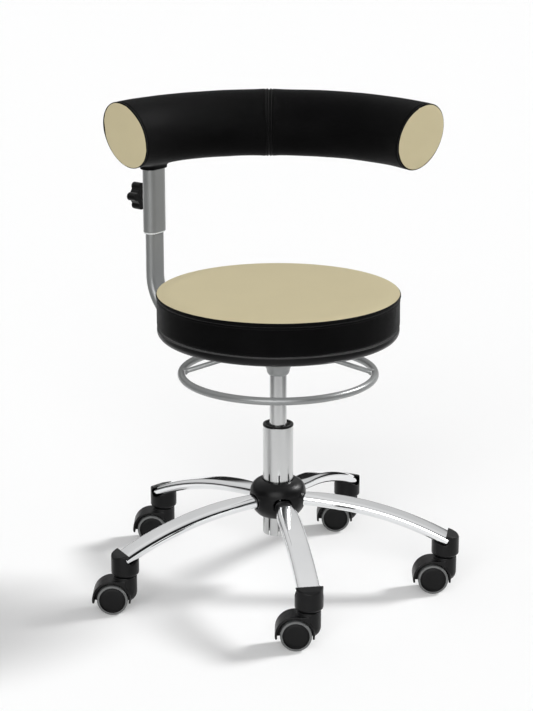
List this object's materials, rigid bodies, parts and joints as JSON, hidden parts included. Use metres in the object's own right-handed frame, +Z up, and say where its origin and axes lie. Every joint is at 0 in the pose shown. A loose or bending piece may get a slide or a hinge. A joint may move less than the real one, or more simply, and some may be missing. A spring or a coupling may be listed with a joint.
{
  "type": "dentist stool",
  "caption": "Height-adjustable swivel stool with round upholstered seat, ring release, curved back roll on a one-sided post and star base on casters.",
  "frame": {"origin": "on the column axis at floor level", "axes": "+Z up, longest extent; -Y is the front, towards the sitter; the back roll is on the +Y side and its post on the -X +Y side"},
  "size_m": [0.6014, 0.5852, 0.7937],
  "materials": {
    "tan_leather": "smooth upholstery leatherette, beige",
    "black_leather": "fine-grained upholstery leatherette, black; the seat has a beige top panel",
    "black_plastic": "moulded, fine matt texture",
    "caster_plastic": "moulded nylon, satin",
    "wheel_plastic": "moulded nylon",
    "tyre_grey": "soft tread, dark grey",
    "chrome": "bright chrome plate",
    "column_steel": "satin chrome plate",
    "grey_paint": "grey powder coat, satin",
    "bush_white": "natural glide plastic",
    "core_black": "black lacquer",
    "hub_steel": "black primed steel",
    "bare_steel": "turned steel"
  },
  "bodies": {
    "base": {"hub_core": "hub_steel", "hub_cover": "black_plastic", "arm_1": "chrome", "arm_2": "chrome", "arm_3": "chrome", "arm_4": "chrome", "arm_5": "chrome", "arm_end_caps": "black_plastic", "caster_stems": "bare_steel", "stand_tube": "column_steel", "guide_bush": "black_plastic", "thrust_bearing": "bare_steel"},
    "rod": {"piston_rod": "bare_steel", "rod_piston": "bare_steel", "rod_clip": "bare_steel"},
    "seat": {"gas_cylinder": "column_steel", "seat_plate": "grey_paint", "swing_retainer": "grey_paint", "seat_pan": "black_plastic", "seat_screws": "bare_steel", "seat_cushion": "black_leather"},
    "release_ring": {"release_ring": "grey_paint"},
    "release_pin": {"release_pin": "bare_steel"},
    "back_arm": {"back_tube": "grey_paint"},
    "backrest": {"back_sleeve": "grey_paint", "sleeve_bush": "bush_white", "roll_core": "core_black", "back_roll": "black_leather", "roll_end_panels": "tan_leather"},
    "knob": {"clamp_knob": "black_plastic"},
    "caster_1": {"caster_1_hood": "caster_plastic", "caster_1_axle": "bare_steel"},
    "caster_1_front": {"caster_1_wheel_front": "wheel_plastic", "caster_1_tyre_front": "tyre_grey"},
    "caster_1_back": {"caster_1_wheel_back": "wheel_plastic", "caster_1_tyre_back": "tyre_grey"},
    "caster_2": {"caster_2_hood": "caster_plastic", "caster_2_axle": "bare_steel"},
    "caster_2_front": {"caster_2_wheel_front": "wheel_plastic", "caster_2_tyre_front": "tyre_grey"},
    "caster_2_back": {"caster_2_wheel_back": "wheel_plastic", "caster_2_tyre_back": "tyre_grey"},
    "caster_3": {"caster_3_hood": "caster_plastic", "caster_3_axle": "bare_steel"},
    "caster_3_front": {"caster_3_wheel_front": "wheel_plastic", "caster_3_tyre_front": "tyre_grey"},
    "caster_3_back": {"caster_3_wheel_back": "wheel_plastic", "caster_3_tyre_back": "tyre_grey"},
    "caster_4": {"caster_4_hood": "caster_plastic", "caster_4_axle": "bare_steel"},
    "caster_4_front": {"caster_4_wheel_front": "wheel_plastic", "caster_4_tyre_front": "tyre_grey"},
    "caster_4_back": {"caster_4_wheel_back": "wheel_plastic", "caster_4_tyre_back": "tyre_grey"},
    "caster_5": {"caster_5_hood": "caster_plastic", "caster_5_axle": "bare_steel"},
    "caster_5_front": {"caster_5_wheel_front": "wheel_plastic", "caster_5_tyre_front": "tyre_grey"},
    "caster_5_back": {"caster_5_wheel_back": "wheel_plastic", "caster_5_tyre_back": "tyre_grey"}
  },
  "joints": [
    {"name": "rod_swivel", "type": "hinge", "parent": "base", "child": "rod", "pos_m": [0, 0, 0.1], "axis": [0, 0, 1], "continuous": true},
    {"name": "seat_height", "type": "slide", "parent": "rod", "child": "seat", "axis": [0, 0, 1], "range_m": [-0.075, 0.05]},
    {"name": "release_ring_tip", "type": "hinge", "parent": "seat", "child": "release_ring", "pos_m": [0.03, 0, 0.4091], "axis": [0, -1, 0], "range_deg": [0, 6], "stiffness_Nm_per_rad": 6, "springref_deg": -17.19},
    {"name": "release_pin_travel", "type": "slide", "parent": "seat", "child": "release_pin", "axis": [0, 0, 1], "range_m": [-0.0035, 0]},
    {"name": "back_swing", "type": "hinge", "parent": "seat", "child": "back_arm", "pos_m": [0, 0, 0.4175], "axis": [0, 0, 1], "continuous": true},
    {"name": "back_height", "type": "slide", "parent": "back_arm", "child": "backrest", "axis": [0, 0, 1], "range_m": [-0.036, 0.055]},
    {"name": "knob_turn", "type": "hinge", "parent": "backrest", "child": "knob", "pos_m": [-0.20992, 0.16108, 0.624], "axis": [-0.7934, 0.6088, 0], "range_deg": [0, 360]},
    {"name": "caster_1_swivel", "type": "hinge", "parent": "base", "child": "caster_1", "pos_m": [0.05017, -0.27608, 0.05], "axis": [0, 0, 1], "continuous": true},
    {"name": "caster_1_front_spin", "type": "hinge", "parent": "caster_1", "child": "caster_1_front", "pos_m": [0.02997, -0.27608, 0.025], "axis": [0, 1, 0], "continuous": true},
    {"name": "caster_1_back_spin", "type": "hinge", "parent": "caster_1", "child": "caster_1_back", "pos_m": [0.02997, -0.27608, 0.025], "axis": [0, 1, 0], "continuous": true},
    {"name": "caster_2_swivel", "type": "hinge", "parent": "base", "child": "caster_2", "pos_m": [0.27807, -0.0376, 0.05], "axis": [0, 0, 1], "continuous": true},
    {"name": "caster_2_front_spin", "type": "hinge", "parent": "caster_2", "child": "caster_2_front", "pos_m": [0.25787, -0.0376, 0.025], "axis": [0, 1, 0], "continuous": true},
    {"name": "caster_2_back_spin", "type": "hinge", "parent": "caster_2", "child": "caster_2_back", "pos_m": [0.25787, -0.0376, 0.025], "axis": [0, 1, 0], "continuous": true},
    {"name": "caster_3_swivel", "type": "hinge", "parent": "base", "child": "caster_3", "pos_m": [0.12169, 0.25284, 0.05], "axis": [0, 0, 1], "continuous": true},
    {"name": "caster_3_front_spin", "type": "hinge", "parent": "caster_3", "child": "caster_3_front", "pos_m": [0.10149, 0.25284, 0.025], "axis": [0, 1, 0], "continuous": true},
    {"name": "caster_3_back_spin", "type": "hinge", "parent": "caster_3", "child": "caster_3_back", "pos_m": [0.10149, 0.25284, 0.025], "axis": [0, 1, 0], "continuous": true},
    {"name": "caster_4_swivel", "type": "hinge", "parent": "base", "child": "caster_4", "pos_m": [-0.20286, 0.19386, 0.05], "axis": [0, 0, 1], "continuous": true},
    {"name": "caster_4_front_spin", "type": "hinge", "parent": "caster_4", "child": "caster_4_front", "pos_m": [-0.22307, 0.19386, 0.025], "axis": [0, 1, 0], "continuous": true},
    {"name": "caster_4_back_spin", "type": "hinge", "parent": "caster_4", "child": "caster_4_back", "pos_m": [-0.22307, 0.19386, 0.025], "axis": [0, 1, 0], "continuous": true},
    {"name": "caster_5_swivel", "type": "hinge", "parent": "base", "child": "caster_5", "pos_m": [-0.24706, -0.13303, 0.05], "axis": [0, 0, 1], "continuous": true},
    {"name": "caster_5_front_spin", "type": "hinge", "parent": "caster_5", "child": "caster_5_front", "pos_m": [-0.26726, -0.13303, 0.025], "axis": [0, 1, 0], "continuous": true},
    {"name": "caster_5_back_spin", "type": "hinge", "parent": "caster_5", "child": "caster_5_back", "pos_m": [-0.26726, -0.13303, 0.025], "axis": [0, 1, 0], "continuous": true}
  ],
  "couplings": [
    {"joint": "release_pin_travel", "follows": "release_ring_tip", "m_per_rad": -0.03}
  ]
}
